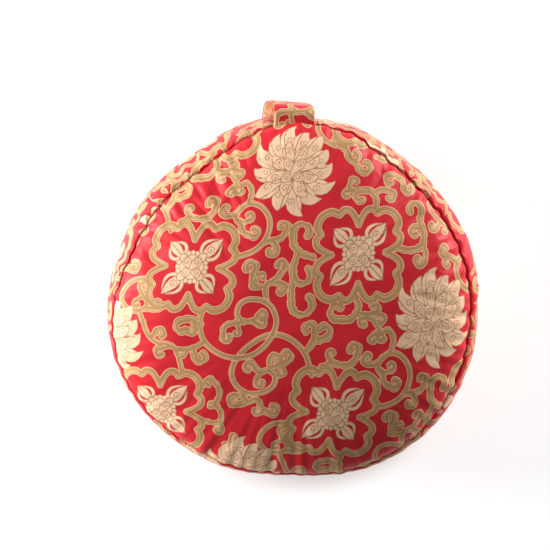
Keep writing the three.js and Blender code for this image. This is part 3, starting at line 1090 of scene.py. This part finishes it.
def brocade_material(name):
    material = bpy.data.materials.new(name)
    material.use_nodes = True
    tree = material.node_tree
    surface = tree.nodes["Principled BSDF"]

    def maths(operation, *values):
        return feed(tree, shade(tree, "Math", operation=operation), *values)

    def attribute(layer, output="Fac"):
        return shade(tree, "Attribute", attribute_name=layer).outputs[output]

    def under(value, limit, soft=SOFT_EDGE):
        """1 where the value is under the limit, with a short soft edge"""
        step = shade(tree, "MapRange")
        return feed(tree, step, value, limit - soft, limit + soft, 1.0, 0.0)

    def stripe(value, half, soft=SOFT_EDGE):
        """1 where the value is within half a width of 0"""
        return under(maths("ABSOLUTE", value), half, soft)

    def blend(share, low, high):
        return feed(tree, shade(tree, "Mix", data_type="RGBA"), share, low, high)

    gold = attribute("figure_gold")
    offset = attribute("figure_offset")
    cream = attribute("figure_cream")
    first = maths("ABSOLUTE", attribute("figure_first"))
    second = maths("ABSOLUTE", attribute("figure_second"))
    eye = attribute("figure_eye", "Vector")
    flat = attribute("flat_cloth", "Vector")

    # The satin's fine threads, and slow patches of painted shade that stand in for changes in how it takes
    # the light
    threads = feed(tree, shade(tree, "Mapping"), flat, (0, 0, 0), (0, 0, 0), THREADS_PER_METRE)
    thread = feed(tree, shade(tree, "TexNoise", noise_dimensions="2D"), threads, 1.0, THREAD_DETAIL)
    shade_patch = feed(tree, shade(tree, "TexNoise", noise_dimensions="2D"), flat, SHADE_PATCHES_PER_METRE, SHADE_PATCH_DETAIL)

    in_gold = under(gold, 0.0)
    in_core = under(gold, -EDGE_WIDTH)
    gold_line = stripe(maths("SUBTRACT", offset, GOLD_LINE_ASIDE), GOLD_LINE_HALF)
    gold_line = maths("MULTIPLY", gold_line, under(gold, -GOLD_LINE_INSIDE))
    in_cream = under(cream, 0.0)
    split = shade(tree, "SeparateXYZ")
    plug(tree, split.inputs[0], eye)
    turn = maths("DIVIDE", maths("ARCTAN2", split.outputs[1], split.outputs[0]), 2 * np.pi)
    from_eye = feed(tree, shade(tree, "VectorMath", operation="LENGTH"), eye)
    wind = maths("FRACT", maths("SUBTRACT", turn, maths("DIVIDE", from_eye, SPIRAL_PITCH)))
    spiral = stripe(maths("SUBTRACT", wind, 0.5), SPIRAL_HALF, SPIRAL_SOFT)
    spiral = maths("MULTIPLY", spiral, under(from_eye, SPIRAL_REACH))
    clear = maths("SUBTRACT", 1.0, under(maths("MAXIMUM", first, second), SPIRAL_CLEAR))
    spiral = maths("MULTIPLY", spiral, clear)
    outline = under(maths("MINIMUM", first, second), BROWN_HALF)
    drawn = maths("MULTIPLY", maths("MAXIMUM", outline, spiral), in_cream)

    # The ground darkens in slow patches of painted shade
    colour = blend(maths("MULTIPLY", shade_patch, PAINTED_SHADE_SHARE), blend(thread, *GROUND), GROUND_PAINTED_SHADE)
    colour = blend(in_gold, colour, GOLD_EDGE)
    colour = blend(in_core, colour, blend(thread, *GOLD))
    colour = blend(gold_line, colour, GOLD_LINE)
    colour = blend(in_cream, colour, blend(thread, *CREAM))
    colour = blend(drawn, colour, BROWN)
    plug(tree, surface.inputs["Base Color"], colour)
    figure = maths("MAXIMUM", in_gold, in_cream)
    roughness = maths("ADD", SATIN_ROUGHNESS, maths("MULTIPLY", figure, FIGURE_ROUGHER))
    plug(tree, surface.inputs["Roughness"], roughness)
    plug(tree, surface.inputs["Specular IOR Level"], SATIN_SPECULAR)

    # Figures stand a little over the satin, and the drawn threads are pulled in
    relief = maths("SUBTRACT", figure, maths("MULTIPLY", drawn, BROWN_RELIEF))
    relief = maths("ADD", relief, maths("MULTIPLY", thread, THREAD_RELIEF))
    bump = shade(tree, "Bump")
    plug(tree, bump.inputs["Strength"], RELIEF_STRENGTH)
    plug(tree, bump.inputs["Distance"], RELIEF)
    plug(tree, bump.inputs["Height"], relief)
    plug(tree, surface.inputs["Normal"], bump.outputs[0])
    return material


brocade = brocade_material("Red brocade")
cover.data.materials.append(brocade)
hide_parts("cushion")
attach(cover, "root")

# The carrying loop: one strip of the same brocade, folded double into a flat strap. Its two ends are
# sewn into the face's seam and the base's seam, so it stands off the band like a lug.
STRAP_WIDTH = 0.036
STRAP_THICK = 0.0026
STRAP_BEARING = 90.5  # degrees
STRAP_TURN = -4.5  # degrees by which it faces away from its bearing
STRAP_LEAN = 0.007  # how far its lower end lies aside
# Its middle line across the band: how far out from the band's widest line, and the height
STRAP_PATH = [
    (-0.0100, 0.1262),
    (-0.0050, 0.1272),
    (0.0010, 0.1286),
    (0.0060, 0.1282),
    (0.0094, 0.1246),
    (0.0108, 0.1180),
    (0.0116, 0.1040),
    (0.0120, 0.0800),
    (0.0116, 0.0540),
    (0.0102, 0.0360),
    (0.0076, 0.0260),
    (0.0030, 0.0210),
    (-0.0050, 0.0200),
    (-0.0150, 0.0206),
]
PATH_STEPS = 24  # of the curve between two of these points
STRAP_STEP = 0.0012
STRAP_ACROSS = 34  # faces across each side
EDGE_SQUARENESS = 14  # the larger, the rounder only at the very edge
FLAT_SHARE = 0.86  # thickness between the edges, as a share of that near them
EDGE_FULLNESS = 6
STRAP_MAP_METRES = 0.16  # cloth along the loop's whole map
STRAP_CUT = np.array([50, 76])  # where the strip was cut from the cloth, in squares

outward = point_at(1.0, np.radians(STRAP_BEARING + STRAP_TURN), 0)
across = np.array([outward[1], -outward[0], 0])
upward = np.array([0, 0, 1.0])
strap_middle = np.radians(STRAP_BEARING)
foot = point_at(widest(strap_middle), strap_middle, 0)
fine_path = smooth(STRAP_PATH, steps=PATH_STEPS)
run = np.concatenate([[0], np.cumsum(np.hypot(*np.diff(fine_path, axis=0).T))])
strap_length = run[-1]
stations = np.linspace(0, strap_length, round(strap_length / STRAP_STEP) + 1)
out_at = np.interp(stations, run, fine_path[:, 0])
height_at = np.interp(stations, run, fine_path[:, 1])
along = np.gradient(np.stack([out_at, height_at], axis=-1), axis=0)
along /= np.hypot(*along.T)[:, None]
strap_centres = foot + out_at[:, None] * outward + height_at[:, None] * upward
strap_centres -= (STRAP_LEAN * stations / strap_length)[:, None] * across
strap_normals = -along[:, 1:] * outward + along[:, :1] * upward

# The strap's section: two sides that are a little fuller at the folded edges
side = np.linspace(-1, 1, STRAP_ACROSS + 1)
edge_round = np.sqrt(np.clip(1 - np.abs(side) ** EDGE_SQUARENESS, 0, 1))
fullness = FLAT_SHARE + (1 - FLAT_SHARE) * np.abs(side) ** EDGE_FULLNESS
half_thick = STRAP_THICK / 2 * edge_round * fullness
section_across = np.concatenate([side, side[-2:0:-1]]) * STRAP_WIDTH / 2
section_up = np.concatenate([half_thick, -half_thick[-2:0:-1]])
ring_size = len(section_across)
strap_points = strap_centres[:, None] + section_across[:, None] * across
strap_points = (strap_points + section_up[:, None] * strap_normals[:, None]).reshape(-1, 3)
strap_faces = []
for station in range(len(stations) - 1):
    for k in range(ring_size):
        low = station * ring_size
        a, b = low + k, low + (k + 1) % ring_size
        strap_faces.append((a, b, b + ring_size, a + ring_size))
strap_faces.append(tuple(range(ring_size))[::-1])
strap_faces.append(tuple(range(len(strap_points) - ring_size, len(strap_points))))
strap = new_object("handle_strap", strap_points, strap_faces)
girth = np.concatenate([side, 2 - side[-2:0:-1]]) * STRAP_WIDTH / 2
strap_cloth = np.column_stack([np.tile(girth, len(stations)), -np.repeat(stations, ring_size)])
add_figure(strap, strap_cloth / SQUARE + STRAP_CUT)
strap_map = []
for polygon in strap_faces:
    spots = [point % ring_size for point in polygon]
    wraps = len(polygon) == 4 and max(spots) - min(spots) > 1
    for point, spot in zip(polygon, spots):
        around = girth[spot] + (2 * STRAP_WIDTH if wraps and spot == 0 else 0) + STRAP_WIDTH / 2
        strap_map.append((around / STRAP_MAP_METRES, stations[point // ring_size] / STRAP_MAP_METRES))
add_map(strap, strap_map)
strap.data.materials.append(brocade)
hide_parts("handle")
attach(strap, "root")

# The floor: one plain pale sheet, wider than the camera sees. It glows evenly, so that it stays pale
# behind the cushion, but less just in front of it: a painted shadow, set where the cushion throws its soft
# shadow.
FLOOR_HALF = 4.0
FLOOR_DROP = 0.0004  # a hair under the cushion
FLOOR_GREY = (0.65, 0.65, 0.65, 1)
FLOOR_ROUGHNESS = 0.8
WHITE = (1, 1, 1, 1)
# The painted shadow: the floor's glow is turned down round this point, in front of the cushion
PAINTED_SHADOW_MIDDLE = (0.01, -0.06, 0)
PAINTED_SHADOW_REACH = (0.108, 0.15)  # from where to where the glow grows, out of the painted shadow
GLOW_STRENGTH = (0.25, 0.7)
floor_sides = ((-1, -1), (1, -1), (1, 1), (-1, 1))
floor_corners = [(x * FLOOR_HALF, y * FLOOR_HALF, -FLOOR_DROP) for x, y in floor_sides]
floor = new_object("floor", np.array(floor_corners), [(0, 1, 2, 3)])
floor_material = bpy.data.materials.new("Pale floor")
floor_material.use_nodes = True
floor_tree = floor_material.node_tree
floor_surface = floor_tree.nodes["Principled BSDF"]
object_place = shade(floor_tree, "TexCoord").outputs["Object"]
distance = shade(floor_tree, "VectorMath", operation="DISTANCE")
from_painted_shadow = feed(floor_tree, distance, object_place, PAINTED_SHADOW_MIDDLE)
glow = shade(floor_tree, "MapRange", interpolation_type="SMOOTHSTEP")
glow_strength = feed(floor_tree, glow, from_painted_shadow, *PAINTED_SHADOW_REACH, *GLOW_STRENGTH)
plug(floor_tree, floor_surface.inputs["Base Color"], FLOOR_GREY)
plug(floor_tree, floor_surface.inputs["Roughness"], FLOOR_ROUGHNESS)
plug(floor_tree, floor_surface.inputs["Emission Color"], WHITE)
# The glow dips near the cushion as a painted shadow
plug(floor_tree, floor_surface.inputs["Emission Strength"], glow_strength)
floor.data.materials.append(floor_material)

# Soft studio light: a square lamp from the left, a weaker one from the right, and a pale room. Each
# lamp has its place, its size and its power, and points at the middle of the cushion.
LAMPS = {
    "key": ((-1.8, 0.38, 0.56), 0.9, 66),
    "fill": ((1.45, 1.0, 0.2), 0.7, 44),
}
LAMP_AIM = Vector((0, 0, 0.08))
ROOM_STRENGTH = 0.17
for name, (place, size, power) in LAMPS.items():
    lamp = bpy.data.lights.new(name, "AREA")
    lamp.shape = "SQUARE"
    lamp.size = size
    lamp.energy = power
    lamp_object = bpy.data.objects.new(name, lamp)
    lamp_object.location = place
    lamp_object.rotation_euler = (LAMP_AIM - Vector(place)).to_track_quat("-Z", "Y").to_euler()
    bpy.context.scene.collection.objects.link(lamp_object)
room = bpy.data.worlds.new("room")
room.use_nodes = True
feed(room.node_tree, room.node_tree.nodes["Background"], WHITE, ROOM_STRENGTH)
bpy.context.scene.world = room
bpy.context.scene.view_settings.view_transform = "Standard"

# The camera looks down on the face, from a little to the loop's side, as in the photo. It stands far
# off with a long lens, so that near and far parts keep their sizes.
CAMERA_WAY = Vector((-0.0442, 0.0947, 0.9945))  # from the cushion to the camera
CAMERA_TARGET = Vector((-0.017, 0.0226, 0.083))
CAMERA_DISTANCE = 2.4
VIEW_WIDTH = 0.497  # across the picture, at the target
SENSOR_WIDTH = 36
camera_data = bpy.data.cameras.new("camera")
camera_data.sensor_width = SENSOR_WIDTH
camera_data.lens = SENSOR_WIDTH * CAMERA_DISTANCE / VIEW_WIDTH
camera = bpy.data.objects.new("camera", camera_data)
back = CAMERA_WAY.normalized()
right = Vector((0, 1, 0)).cross(back).normalized()
camera.matrix_world = Matrix((right, back.cross(right), back)).transposed().to_4x4()
camera.location = CAMERA_TARGET + back * CAMERA_DISTANCE
bpy.context.scene.collection.objects.link(camera)
bpy.context.scene.camera = camera
